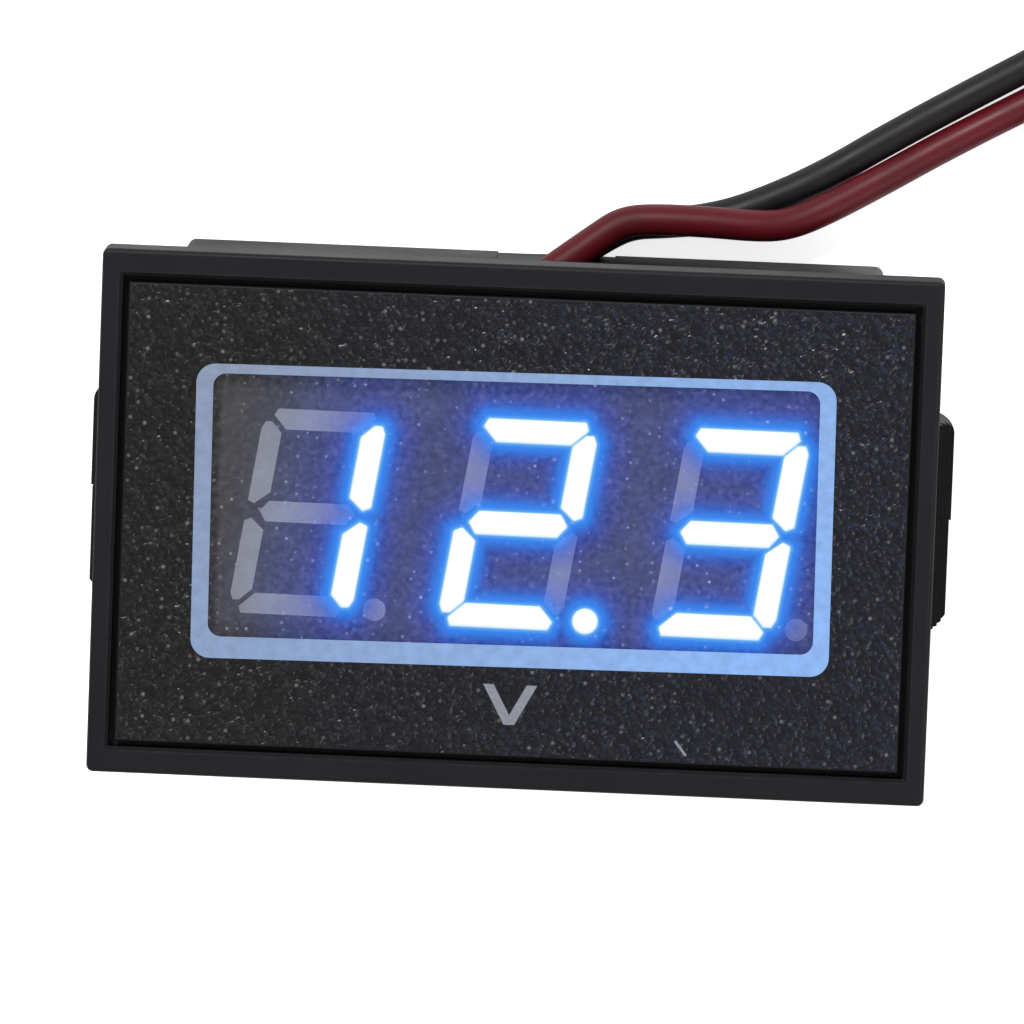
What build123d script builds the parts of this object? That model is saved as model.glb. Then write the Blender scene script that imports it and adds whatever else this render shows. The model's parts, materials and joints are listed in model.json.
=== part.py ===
from build123d import *
import os
from math import cos, radians, sin, tan

os.makedirs("parts", exist_ok=True)

# A snap-in digital panel meter, in millimetres. It lies on the rear rim of its case.
# X runs to the right across the display, Y runs up the display, Z points out of the face.
# The origin is the centre of the rear rim.

# Case and bezel
overall_depth = 22.0
bezel_width = 48.0
bezel_height = 30.2
bezel_thickness = 2.5
bezel_corner = 0.4
bezel_edge_round = 0.27
body_width = 40.9
body_height = 26.9
body_corner = 0.5
wall = 1.2
rim_chamfer = 0.25
cut_past = 0.6

# Front plate in the bezel
frame_side = 0.94
frame_top = 1.24
frame_chamfer = 0.2
groove_width = 0.375
plate_thickness = 1.15
plate_drop = 0.05
plate_edge_round = 0.1
plate_land = 0.37
film_gap = 0.09
film_thickness = 0.2
film_corner = 0.3

# Printed face film
print_skew = 0.6
window_x = -0.05
window_y = 0.8
window_width = 34.6
window_height = 15.15
window_radius = 0.75
border_side = 0.95
border_top = 0.545
border_bottom = 1.255
border_shift = -0.02
border_radius = 1.1
border_print = 0.05
aperture_margin = 0.4

# Snap clips
clip_height = 11.8
clip_y = 0.1
hinge_reach = 0.7
hinge_z = 2.75
knuckle_radius = 0.65
knuckle_clearance = 0.03
ledge_reach = 1.6
ledge_bottom = 0.9
ledge_chamfer = 0.5
root_inner_angle = 25.0
root_outer_angle = 15.0
tip_reach = 4.5
tip_land = 0.4
thickest_panel = 8.1
teeth = 6
tooth_pitch = 1.05
tooth_depth = 0.45
tooth_step = 0.23
rack_end = 0.75
arm_thickness = 1.4
arm_end = 0.7
clip_shoulder = 0.9
pocket_depth = 1.5
pocket_length = 7.5
pocket_clearance = 0.4
pocket_wall = 0.8

# Seven segment display
display_x = 0.2
display_y = 0.14
display_skew = -0.35
display_width = 35.6
display_height = 17.2
display_depth = 6.4
display_edge = 0.3
digit_pitch = 12.08
digit_slant = 8.3
digit_half_width = 2.91
digit_half_height = 5.345
segment_width = 1.19
segment_gap = 0.3
segment_nose = 0.17
segment_shoulder = 0.38
waist_gap = 0.42
waist_mitre = 0.5
bar_tip_gap = 0.18
bar_shoulder = 0.43
segment_depth = 2.0
point_radius = 0.65
point_x = 4.06
point_y = -5.4
light_well = 0.8
display_board_thickness = 1.0
display_board_margin = 0.3
die_size = 0.4
die_height = 0.15
pin_size = 0.5
pin_pitch = 2.54
pin_row = 5.08
pins_per_row = 6

# Circuit board
board_thickness = 1.2
board_stand = 4.2
board_gap_x = 0.2
board_gap_y = 0.25
board_corner = 0.5
hole_clearance = 0.06
rib_size = 1.6
potting_thickness = 3.0

# Parts on the circuit board
chip_length = 9.9
chip_width = 3.9
chip_height = 1.5
chip_standoff = 0.1
chip_chamfer = 0.2
chip_x = -5.4
chip_y = 0.14
leg_pitch = 1.27
legs_per_side = 8
leg_width = 0.4
leg_thickness = 0.2
leg_reach = 1.0
leg_foot = 0.55
regulator_x = 9.6
regulator_y = 2.6
regulator_length = 4.5
regulator_width = 2.5
regulator_height = 1.5
regulator_leg = 0.9
capacitor_x = 12.8
capacitor_y = -4.4
can_radius = 2.0
can_height = 3.3
can_waist = 0.12
can_waist_z = 0.82
can_waist_height = 0.55
capacitor_base = 4.3
capacitor_base_height = 0.5
diode_x = 14.6
diode_y = 7.4
diode_length = 4.3
diode_width = 2.6
diode_height = 2.2
resistor_length = 1.6
resistor_width = 0.8
resistor_height = 0.45
resistor_row = -8.6
resistor_pitch = 2.6
resistors = 10
ceramic_x = 3.4
ceramic_pitch = 2.4
ceramics = 4
ceramic_length = 2.0
ceramic_width = 1.25
ceramic_height = 0.9
transistor_x = -14.2
transistor_pitch = 4.2
transistor_length = 2.9
transistor_width = 1.3
transistor_height = 1.0

# Supply leads
lead_radius = 0.925
lead_sides = 8
arc_share = 0.45
conductor_radius = 0.45
conductor_stand = 0.2
solder_radius = 1.15
solder_height = 1.0
tip_length = 4.5
notch_left = -2.2
notch_right = 4.7
notch_depth = 4.2

# Put-away coil of the two leads, with its tie
coil_x = 42.25
coil_y = 20.5
red_coil_radius = 9.5
lead_step = 1.9
coil_layer = 1.87
coil_entry = 120.0
coil_exit = 300.0
tie_thickness = 0.4
tie_width = 2.4
tie_clearance = 0.12
tie_angle = 45.0
rest_gap = 0.005
crossing_gap = 0.07

# Levels and outlines worked out from the sizes above
seat_z = overall_depth - bezel_thickness
plate_top = overall_depth - plate_drop
plate_z = plate_top - plate_thickness
recess_width = bezel_width - 2 * bezel_edge_round - 2 * frame_side
recess_height = bezel_height - 2 * bezel_edge_round - 2 * frame_top
plate_width = recess_width - 2 * groove_width
plate_height = recess_height - 2 * groove_width
film_pocket_width = plate_width - 2 * plate_land
film_pocket_height = plate_height - 2 * plate_land
film_z = plate_top - film_thickness
cavity_width = body_width - 2 * wall
cavity_height = body_height - 2 * wall
pocket_floor = body_width / 2 - pocket_depth
pad_face = pocket_floor - pocket_wall
pocket_height = clip_height + 2 * pocket_clearance
pocket_z = seat_z - pocket_length
border_width = window_width + 2 * border_side
border_height = window_height + border_top + border_bottom
border_x = window_x + border_shift
border_y = window_y + (border_top - border_bottom) / 2
board_width = 2 * (pad_face - board_gap_x)
board_height = cavity_height - 2 * board_gap_y
display_z = plate_z - display_depth
display_board_z = display_z - display_board_thickness
board_top = display_board_z - board_stand
board_z = board_top - board_thickness
potting_z = board_z - potting_thickness
solder_z = board_z - solder_height
hinge_x = body_width / 2 + hinge_reach
tip_x = body_width / 2 + tip_reach
tip_z = seat_z - thickest_panel

# Case: a box with a bezel flange, open at the rear and at the front
with BuildPart() as case:
    with BuildSketch(Plane.XY):
        RectangleRounded(body_width, body_height, body_corner)
    extrude(amount=seat_z)
    chamfer(faces().sort_by(Axis.Z)[0].edges(), rim_chamfer)
    with BuildSketch(Plane.XY.offset(seat_z)):
        RectangleRounded(bezel_width, bezel_height, bezel_corner)
    extrude(amount=bezel_thickness)
    fillet(faces().sort_by(Axis.Z)[-1].edges(), bezel_edge_round)
    # ledges that carry the roots of the clips
    with BuildSketch(Plane.XZ.offset(-clip_y)):
        for side in (-1, 1):
            with BuildLine():
                Polyline(
                    (side * (body_width / 2 - wall / 2), ledge_bottom),
                    (side * (body_width / 2 + ledge_reach - ledge_chamfer), ledge_bottom),
                    (side * (body_width / 2 + ledge_reach), ledge_bottom + ledge_chamfer),
                    (side * (body_width / 2 + ledge_reach), hinge_z),
                    (side * (body_width / 2 - wall / 2), hinge_z),
                    close=True,
                )
            make_face()
    extrude(amount=clip_height / 2, both=True)
    # cavity from the rear rim to the seat of the front plate
    with BuildSketch(Plane.XY):
        Rectangle(cavity_width, cavity_height)
    extrude(amount=plate_z, mode=Mode.SUBTRACT)
    # recess for the front plate, with a chamfered mouth
    with BuildSketch(Plane.XY.offset(plate_z)):
        Rectangle(recess_width, recess_height)
    extrude(amount=bezel_thickness, mode=Mode.SUBTRACT)
    chamfer(faces().sort_by(Axis.Z)[-1].inner_wires().edges(), frame_chamfer)
    # side walls set inwards behind the pockets that the clips swing into
    with BuildSketch(Plane.XY.offset(pocket_z - pocket_wall)):
        for side in (-1, 1):
            with Locations((side * (pad_face + cavity_width / 2) / 2, clip_y)):
                Rectangle(cavity_width / 2 - pad_face, pocket_height + 2 * pocket_wall)
    extrude(amount=plate_z - pocket_z + pocket_wall)
    with BuildSketch(Plane.XY.offset(pocket_z)):
        for side in (-1, 1):
            with Locations((side * (pocket_floor + pocket_depth), clip_y)):
                Rectangle(2 * pocket_depth, pocket_height)
    extrude(amount=seat_z - pocket_z, mode=Mode.SUBTRACT)
    # round seats for the clips' knuckles
    with BuildSketch(Plane.XZ.offset(-clip_y)):
        for side in (-1, 1):
            with Locations((side * hinge_x, hinge_z)):
                Circle(knuckle_radius + knuckle_clearance)
    extrude(amount=clip_height / 2, both=True, mode=Mode.SUBTRACT)
    # ribs in the corners that the circuit board stands against
    with BuildSketch(Plane.XY.offset(board_top)):
        with GridLocations(cavity_width - rib_size, cavity_height - rib_size, 2, 2):
            Rectangle(rib_size, rib_size)
    extrude(amount=plate_z - board_top)
    # notch in the rear rim where the leads leave
    with BuildSketch(Plane.XY):
        with Locations(((notch_left + notch_right) / 2, body_height / 2)):
            Rectangle(notch_right - notch_left, 2 * (wall + cut_past))
    extrude(amount=notch_depth, mode=Mode.SUBTRACT)
case.part.label = "case"
export_step(case.part, "parts/case.step")

# Front plate with the display aperture and the shallow pocket for the film
print_plane = Plane.XY.rotated((0, 0, print_skew))
with BuildPart() as front_plate:
    with BuildSketch(Plane.XY.offset(plate_z)):
        Rectangle(plate_width, plate_height)
    extrude(amount=plate_thickness)
    fillet(faces().sort_by(Axis.Z)[-1].edges(), plate_edge_round)
    with BuildSketch(Plane.XY.offset(film_z)):
        RectangleRounded(film_pocket_width, film_pocket_height, film_corner)
    extrude(amount=film_thickness, mode=Mode.SUBTRACT)
    with BuildSketch(print_plane.offset(plate_z)):
        with Locations((window_x, window_y)):
            Rectangle(window_width + 2 * aperture_margin, window_height + 2 * aperture_margin)
    extrude(amount=plate_thickness, mode=Mode.SUBTRACT)
front_plate.part.label = "front_plate"
export_step(front_plate.part, "parts/front_plate.step")

# Face film, printed black except for its window
with BuildPart() as face_film:
    with BuildSketch(Plane.XY.offset(film_z)):
        RectangleRounded(film_pocket_width - 2 * film_gap, film_pocket_height - 2 * film_gap, film_corner)
    extrude(amount=film_thickness)
    with BuildSketch(print_plane.offset(film_z)):
        with Locations((window_x, window_y)):
            RectangleRounded(window_width, window_height, window_radius)
    extrude(amount=film_thickness, mode=Mode.SUBTRACT)
face_film.part.label = "face_film"
export_step(face_film.part, "parts/face_film.step")

# The film's smoked window
with BuildPart() as film_window:
    with BuildSketch(print_plane.offset(film_z)):
        with Locations((window_x, window_y)):
            RectangleRounded(window_width, window_height, window_radius)
    extrude(amount=film_thickness)
film_window.part.label = "film_window"
export_step(film_window.part, "parts/film_window.step")

# Printed border round the window
with BuildPart() as window_border:
    with BuildSketch(print_plane.offset(plate_top)):
        with Locations((border_x, border_y)):
            RectangleRounded(border_width, border_height, border_radius)
        with Locations((window_x, window_y)):
            RectangleRounded(window_width, window_height, window_radius, mode=Mode.SUBTRACT)
    extrude(amount=border_print)
window_border.part.label = "window_border"
export_step(window_border.part, "parts/window_border.step")


def rack_outline(stagger):
    """The arm in X and Z, its teeth moved towards the bezel by stagger and its tips in by the slope."""
    tip = tip_x - tooth_step * stagger / tooth_pitch
    arm_top = tip_z + (teeth - 1 + rack_end) * tooth_pitch
    points = [(tip, tip_z + stagger - tip_land)]
    for tooth in range(teeth):
        z = tip_z + stagger + tooth * tooth_pitch
        x = tip - tooth * tooth_step
        if z < arm_top - tip_land:
            points.append((x, z))
            points.append((x - tooth_depth, z))
    points.append((points[-1][0], arm_top))
    points.append((points[-1][0] - arm_end, arm_top))
    points.append((tip_x - tooth_depth - arm_thickness, tip_z - tip_land))
    points.append(
        (
            hinge_x - knuckle_radius * cos(radians(root_inner_angle)),
            hinge_z + knuckle_radius * sin(radians(root_inner_angle)),
        )
    )
    points.append((hinge_x, hinge_z))
    points.append(
        (
            hinge_x + knuckle_radius * cos(radians(root_outer_angle)),
            hinge_z + knuckle_radius * sin(radians(root_outer_angle)),
        )
    )
    return points


# Snap clip: two ratchet racks side by side on one bent arm, half a tooth apart
with BuildPart() as clip_right:
    for rack_start, stagger in ((0.0, 0.0), (-clip_height / 2, tooth_pitch / 2)):
        with BuildSketch(Plane.XZ.offset(-clip_y - rack_start)):
            with BuildLine():
                Polyline(*rack_outline(stagger), close=True)
            make_face()
        extrude(amount=-clip_height / 2)
    with BuildSketch(Plane.XZ.offset(-clip_y)):
        with Locations((hinge_x, hinge_z)):
            Circle(knuckle_radius)
    extrude(amount=clip_height / 2, both=True)
    # rounded shoulders, seen from the front
    with BuildSketch(Plane.XY):
        with Locations((0, clip_y)):
            RectangleRounded(2 * tip_x, clip_height, clip_shoulder)
    extrude(amount=seat_z, mode=Mode.INTERSECT)
clip_right.part.label = "clip_right"
export_step(clip_right.part, "parts/clip_right.step")

with BuildPart() as clip_left:
    mirror(clip_right.part, about=Plane.YZ)
clip_left.part.label = "clip_left"
export_step(clip_left.part, "parts/clip_left.step")

# Outlines of the segments, upright, as seen in the upper left of a digit
side_outer = digit_half_width + segment_width / 2
side_inner = digit_half_width - segment_width / 2
mitre = segment_gap * sin(radians(45))
top_outline = [
    (-digit_half_width, digit_half_height + mitre),
    (-digit_half_width + segment_nose, digit_half_height + segment_width / 2),
    (digit_half_width - segment_nose, digit_half_height + segment_width / 2),
    (digit_half_width, digit_half_height + mitre),
    (side_inner - mitre, digit_half_height - segment_width / 2),
    (mitre - side_inner, digit_half_height - segment_width / 2),
]
side_outline = [
    (-side_outer, digit_half_height - segment_nose - segment_shoulder),
    (-side_outer + segment_shoulder / 2, digit_half_height - segment_nose),
    (-digit_half_width - mitre + segment_nose, digit_half_height - segment_nose),
    (-side_inner, digit_half_height - mitre - segment_width / 2),
    (-side_inner, waist_mitre + segment_width / 2),
    (-side_outer + segment_shoulder, waist_gap),
    (-side_outer, waist_gap + segment_nose),
]
middle_outline = [
    (bar_tip_gap - digit_half_width, 0),
    (bar_shoulder + bar_tip_gap - digit_half_width, segment_width / 2),
    (digit_half_width - bar_shoulder - bar_tip_gap, segment_width / 2),
    (digit_half_width - bar_tip_gap, 0),
    (digit_half_width - bar_shoulder - bar_tip_gap, -segment_width / 2),
    (bar_shoulder + bar_tip_gap - digit_half_width, -segment_width / 2),
]

# Each segment's outline, mirrored in X and Y by these signs
segments = {
    "a": (top_outline, 1, 1),
    "b": (side_outline, -1, 1),
    "c": (side_outline, -1, -1),
    "d": (top_outline, 1, -1),
    "e": (side_outline, 1, -1),
    "f": (side_outline, 1, 1),
    "g": (middle_outline, 1, 1),
}
digit_names = ("left", "middle", "right")
lit_segments = {"left": "bc", "middle": "abdeg", "right": "abcdg"}
lit_point = "middle"


def slanted(digit, x, y):
    """A point of a digit, upright about its centre, leaned over and set in the display's row."""
    row_x = (digit_names.index(digit) - 1) * digit_pitch
    return (row_x + x + y * tan(radians(digit_slant)), y)


def segment_points(digit, name):
    """The outline of one segment of one digit."""
    outline, sign_x, sign_y = segments[name]
    return [slanted(digit, sign_x * x, sign_y * y) for x, y in outline]


def segment_centre(digit, name):
    """The middle of one segment of one digit."""
    points = segment_points(digit, name)
    return (
        (min(x for x, y in points) + max(x for x, y in points)) / 2,
        (min(y for x, y in points) + max(y for x, y in points)) / 2,
    )


def point_centre(digit):
    """The middle of a digit's decimal point."""
    return ((digit_names.index(digit) - 1) * digit_pitch + point_x, point_y)


display_plane = Plane(origin=(display_x, display_y, 0)).rotated((0, 0, display_skew))

# Segments of each digit, lit and dark apart
segment_parts = []
for digit in digit_names:
    lit = lit_segments[digit]
    dark = "".join(name for name in segments if name not in lit)
    for state, names in (("lit", lit), ("dark", dark)):
        with BuildPart() as segment_group:
            for name in names:
                with BuildSketch(display_plane.offset(plate_z - segment_depth)):
                    Polygon(*segment_points(digit, name), align=None)
                extrude(amount=segment_depth)
        segment_group.part.label = f"{digit}_digit_{state}"
        export_step(segment_group.part, f"parts/{digit}_digit_{state}.step")
        segment_parts.append(segment_group.part)

# Decimal points
dark_points = [digit for digit in digit_names if digit != lit_point]
for label, digits in (("lit_decimal_point", [lit_point]), ("dark_decimal_points", dark_points)):
    with BuildPart() as point_group:
        with BuildSketch(display_plane.offset(plate_z - segment_depth)):
            with Locations(*[point_centre(digit) for digit in digits]):
                Circle(point_radius)
        extrude(amount=segment_depth)
    point_group.part.label = label
    export_step(point_group.part, f"parts/{label}.step")
    segment_parts.append(point_group.part)

# Where the light wells and dies of the display stand
light_points = [segment_centre(digit, name) for digit in digit_names for name in segments]
light_points += [point_centre(digit) for digit in digit_names]

# Display housing with a pocket for each segment and a light well behind it
with BuildPart() as display_housing:
    with BuildSketch(display_plane.offset(display_z)):
        Rectangle(display_width, display_height)
    extrude(amount=display_depth)
    chamfer(edges().filter_by(Axis.Z), display_edge)
    with BuildSketch(display_plane.offset(display_z)):
        with Locations(*light_points):
            Rectangle(light_well, light_well)
    extrude(amount=display_depth, mode=Mode.SUBTRACT)
    for segment_part in segment_parts:
        add(segment_part, mode=Mode.SUBTRACT)
display_housing.part.label = "display_housing"
export_step(display_housing.part, "parts/display_housing.step")

# Display board that closes the housing's rear
with BuildPart() as display_board:
    with BuildSketch(display_plane.offset(display_board_z)):
        Rectangle(display_width - 2 * display_board_margin, display_height - 2 * display_board_margin)
    extrude(amount=display_board_thickness)
display_board.part.label = "display_board"
export_step(display_board.part, "parts/display_board.step")

# Light emitting dies, one in each well
with BuildPart() as led_dies:
    with BuildSketch(display_plane.offset(display_z)):
        with Locations(*light_points):
            Rectangle(die_size, die_size)
    extrude(amount=die_height)
led_dies.part.label = "led_dies"
export_step(led_dies.part, "parts/led_dies.step")

# Display pins, from the display board through the circuit board
with BuildPart() as display_pins:
    with BuildSketch(display_plane.offset(board_z)):
        with GridLocations(pin_pitch, 2 * pin_row, pins_per_row, 2):
            Rectangle(pin_size, pin_size)
    extrude(amount=display_board_z - board_z)
display_pins.part.label = "display_pins"
export_step(display_pins.part, "parts/display_pins.step")

# Routes of the two leads, from the circuit board out to the coil
table_z = lead_radius + rest_gap
red_over_z = table_z + 2 * lead_radius + crossing_gap
red_exit = (-2.9, 9.6)
black_exit = (-5.9, 7.0)
coil_z = tie_thickness + rest_gap + lead_radius
upper_z = coil_z + coil_layer
black_coil_radius = red_coil_radius + lead_step


def on_coil(radius, angle, z):
    """A point of the coil."""
    return (coil_x + radius * cos(radians(angle)), coil_y + radius * sin(radians(angle)), z)


def past_exit(radius, distance, z, aside=0.0):
    """A point of a tail, along the straight line on which it leaves the coil."""
    x, y, z = on_coil(radius, coil_exit, z)
    along = radians(coil_exit - 90)
    return (x + distance * cos(along) - aside * sin(along), y + distance * sin(along) + aside * cos(along), z)


red_route = [
    (*red_exit, solder_z),
    (*red_exit, red_over_z),
    (1.2, 12.85, red_over_z),
    (3.7, 14.75, red_over_z),
    (5.1, 15.75, red_over_z),
    (6.9, 15.98, red_over_z),
    (10.2, 15.95, red_over_z),
    (12.9, 15.8, 2.77),
    (14.6, 15.9, 2.5),
    (16.4, 16.6, 2.15),
    (19.45, 18.27, 1.6),
    (24.05, 21.03, 1.1),
    (30.0, 24.3, 0.95),
    on_coil(red_coil_radius, coil_entry, coil_z),
]
black_route = [
    (*black_exit, solder_z),
    (*black_exit, table_z),
    (-0.4, 11.4, table_z),
    (2.2, 13.35, table_z),
    (4.2, 14.75, table_z),
    (5.6, 15.45, table_z),
    (7.6, 15.6, table_z),
    (9.8, 15.85, table_z),
    (12.4, 16.6, table_z),
    (16.6, 18.6, table_z),
    (20.9, 21.38, table_z),
    (27.9, 25.45, table_z),
    on_coil(black_coil_radius, coil_entry, coil_z),
]
red_tail = [
    past_exit(red_coil_radius, 0.0, upper_z),
    past_exit(red_coil_radius, 3.8, 3.25, 0.05),
    past_exit(red_coil_radius, 7.9, 3.05, -0.1),
    past_exit(red_coil_radius, 11.3, 2.0, -0.5),
    past_exit(red_coil_radius, 14.0, 1.13, -1.1),
    past_exit(red_coil_radius, 16.4, 0.97, -1.9),
]
black_tail = [
    past_exit(black_coil_radius, 0.0, upper_z),
    past_exit(black_coil_radius, 3.2, 3.22, 0.05),
    past_exit(black_coil_radius, 6.6, 2.75, 0.2),
    past_exit(black_coil_radius, 9.6, 1.75, 0.55),
    past_exit(black_coil_radius, 12.0, 1.12, 1.1),
    past_exit(black_coil_radius, 14.2, 0.97, 1.9),
]


def bend_radii(route):
    """As large an arc at each corner as its two runs allow."""
    points = [Vector(*point) for point in route]
    radii = []
    for before, corner, after in zip(points, points[1:], points[2:]):
        turn = (corner - before).get_angle(after - corner)
        run = min((corner - before).length, (after - corner).length)
        radii.append(arc_share * run / tan(radians(turn / 2)))
    return radii


def last_heading(route):
    """The direction of a route's last run."""
    return (Vector(*route[-1]) - Vector(*route[-2])).normalized()


leads = {"red": (red_route, red_tail), "black": (black_route, black_tail)}
for colour, routes in leads.items():
    with BuildPart() as lead:
        for route in routes:
            radii = bend_radii(route)
            print(colour, "bend radii:", [round(radius, 2) for radius in radii])
            with BuildLine() as lead_path:
                FilletPolyline(*route, radius=radii)
            with BuildSketch(Plane(origin=route[0], z_dir=Vector(*route[1]) - Vector(*route[0]))):
                RegularPolygon(lead_radius, lead_sides)
            sweep(path=lead_path.line)
    lead.part.label = f"{colour}_lead"
    export_step(lead.part, f"parts/{colour}_lead.step")
    # tinned end of the lead
    with BuildPart() as lead_tip:
        with BuildSketch(Plane(origin=routes[1][-1], z_dir=last_heading(routes[1]))):
            RegularPolygon(conductor_radius, lead_sides)
        extrude(amount=tip_length)
    lead_tip.part.label = f"{colour}_lead_tip"
    export_step(lead_tip.part, f"parts/{colour}_lead_tip.step")

# The coiled stretch of both leads, as one ring
coil_inner = red_coil_radius - lead_radius
coil_outer = black_coil_radius + lead_radius
coil_bottom = coil_z - lead_radius
coil_top = upper_z + lead_radius
coil_axis = Axis((coil_x, coil_y, 0), (0, 0, 1))
with BuildPart() as lead_coil:
    with BuildSketch(Plane(origin=(coil_x, coil_y, 0), x_dir=(1, 0, 0), z_dir=(0, -1, 0))):
        with Locations(((coil_inner + coil_outer) / 2, (coil_bottom + coil_top) / 2)):
            Rectangle(coil_outer - coil_inner, coil_top - coil_bottom)
    revolve(axis=coil_axis)
lead_coil.part.label = "lead_coil"
export_step(lead_coil.part, "parts/lead_coil.step")

# Tie round the coil
with BuildPart() as coil_tie:
    tie_x = cos(radians(tie_angle))
    tie_y = sin(radians(tie_angle))
    with BuildSketch(Plane(origin=(coil_x, coil_y, 0), x_dir=(tie_x, tie_y, 0), z_dir=(tie_y, -tie_x, 0))):
        with Locations(((coil_inner + coil_outer) / 2, (coil_bottom + coil_top) / 2)):
            Rectangle(
                coil_outer - coil_inner + 2 * (tie_clearance + tie_thickness),
                coil_top - coil_bottom + 2 * tie_thickness,
            )
            chamfer(vertices(), lead_radius / 2)
            Rectangle(
                coil_outer - coil_inner + 2 * tie_clearance,
                coil_top - coil_bottom,
                mode=Mode.SUBTRACT,
            )
    extrude(amount=tie_width / 2, both=True)
coil_tie.part.label = "coil_tie"
export_step(coil_tie.part, "parts/coil_tie.step")

# Circuit board with holes for the display pins and the leads
with BuildPart() as circuit_board:
    with BuildSketch(Plane.XY.offset(board_z)):
        RectangleRounded(board_width, board_height, board_corner)
        with Locations(red_exit, black_exit):
            Circle(conductor_radius + hole_clearance, mode=Mode.SUBTRACT)
    extrude(amount=board_thickness)
    with BuildSketch(display_plane.offset(board_z)):
        with GridLocations(pin_pitch, 2 * pin_row, pins_per_row, 2):
            Rectangle(pin_size + 2 * hole_clearance, pin_size + 2 * hole_clearance)
    extrude(amount=board_thickness, mode=Mode.SUBTRACT)
circuit_board.part.label = "circuit_board"
export_step(circuit_board.part, "parts/circuit_board.step")

# Bared ends of the leads in the board
with BuildPart() as lead_conductors:
    with BuildSketch(Plane.XY.offset(solder_z)):
        with Locations(red_exit, black_exit):
            RegularPolygon(conductor_radius, lead_sides)
    extrude(amount=solder_height + board_thickness + conductor_stand)
lead_conductors.part.label = "lead_conductors"
export_step(lead_conductors.part, "parts/lead_conductors.step")

# Solder joints on the rear of the board
with BuildPart() as solder_joints:
    for exit_x, exit_y in (red_exit, black_exit):
        with BuildSketch(Plane(origin=(exit_x, exit_y, solder_z))):
            RegularPolygon(lead_radius, lead_sides)
        with BuildSketch(Plane(origin=(exit_x, exit_y, board_z))):
            RegularPolygon(solder_radius, lead_sides)
        loft(ruled=True)
    with BuildSketch(Plane.XY.offset(solder_z)):
        with Locations(red_exit, black_exit):
            RegularPolygon(conductor_radius, lead_sides)
    extrude(amount=solder_height, mode=Mode.SUBTRACT)
solder_joints.part.label = "solder_joints"
export_step(solder_joints.part, "parts/solder_joints.step")

# Potting compound over the board's rear, moulded round the joints and the leads
with BuildPart() as potting:
    with BuildSketch(Plane.XY.offset(potting_z)):
        Rectangle(cavity_width, cavity_height)
    extrude(amount=potting_thickness)
    with BuildSketch(Plane.XY.offset(potting_z)):
        with Locations(red_exit, black_exit):
            RegularPolygon(lead_radius, lead_sides)
    extrude(amount=solder_z - potting_z, mode=Mode.SUBTRACT)
    add(solder_joints.part, mode=Mode.SUBTRACT)
    add(lead_conductors.part, mode=Mode.SUBTRACT)
potting.part.label = "potting"
export_step(potting.part, "parts/potting.step")

# Controller chip and its legs
chip_z = board_top + chip_standoff
with BuildPart() as controller_chip:
    with BuildSketch(Plane.XY.offset(chip_z)):
        with Locations((chip_x, chip_y)):
            Rectangle(chip_length, chip_width)
    extrude(amount=chip_height)
    chamfer(faces().sort_by(Axis.Z)[-1].edges(), chip_chamfer)
controller_chip.part.label = "controller_chip"
export_step(controller_chip.part, "parts/controller_chip.step")

with BuildPart() as controller_legs:
    leg_top = chip_z + chip_height / 2
    for side in (-1, 1):
        leg_start = chip_y + side * chip_width / 2
        for leg in range(legs_per_side):
            leg_x = chip_x + (leg - (legs_per_side - 1) / 2) * leg_pitch
            with BuildSketch(Plane.YZ.offset(leg_x - leg_width / 2)):
                with BuildLine():
                    Polyline(
                        (leg_start, leg_top),
                        (leg_start + side * (leg_reach - leg_foot), leg_top),
                        (leg_start + side * (leg_reach - leg_foot), board_top + leg_thickness),
                        (leg_start + side * leg_reach, board_top + leg_thickness),
                        (leg_start + side * leg_reach, board_top),
                        (leg_start + side * (leg_reach - leg_foot - leg_thickness), board_top),
                        (leg_start + side * (leg_reach - leg_foot - leg_thickness), leg_top - leg_thickness),
                        (leg_start, leg_top - leg_thickness),
                        close=True,
                    )
                make_face()
            extrude(amount=leg_width)
controller_legs.part.label = "controller_legs"
export_step(controller_legs.part, "parts/controller_legs.step")


def board_block(label, centres, length, width, height, edge=0.0):
    """Equal blocks on the circuit board's front, with bevelled tops where edge is given."""
    with BuildPart() as blocks:
        with BuildSketch(Plane.XY.offset(board_top)):
            with Locations(*centres):
                Rectangle(length, width)
        extrude(amount=height)
        if edge:
            chamfer(faces().filter_by(Axis.Z).group_by(Axis.Z)[-1].edges(), edge)
    blocks.part.label = label
    export_step(blocks.part, f"parts/{label}.step")


board_block(
    "voltage_regulator",
    [(regulator_x, regulator_y)],
    regulator_length,
    regulator_width,
    regulator_height,
    chip_chamfer,
)
board_block(
    "regulator_legs",
    [
        (regulator_x + step * leg_pitch, regulator_y - (regulator_width + regulator_leg) / 2)
        for step in (-1, 0, 1)
    ],
    leg_width,
    regulator_leg,
    leg_thickness,
)
board_block("polarity_diode", [(diode_x, diode_y)], diode_width, diode_length, diode_height, chip_chamfer)
board_block(
    "chip_resistors",
    [((step - (resistors - 1) / 2) * resistor_pitch, resistor_row) for step in range(resistors)],
    resistor_width,
    resistor_length,
    resistor_height,
)
board_block(
    "chip_capacitors",
    [(ceramic_x, chip_y + (step - (ceramics - 1) / 2) * ceramic_pitch) for step in range(ceramics)],
    ceramic_length,
    ceramic_width,
    ceramic_height,
)
board_block(
    "digit_transistors",
    [(transistor_x, chip_y + step * transistor_pitch) for step in (-1, 0, 1)],
    transistor_width,
    transistor_length,
    transistor_height,
    chip_chamfer / 2,
)
board_block(
    "filter_capacitor_base",
    [(capacitor_x, capacitor_y)],
    capacitor_base,
    capacitor_base,
    capacitor_base_height,
)

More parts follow.
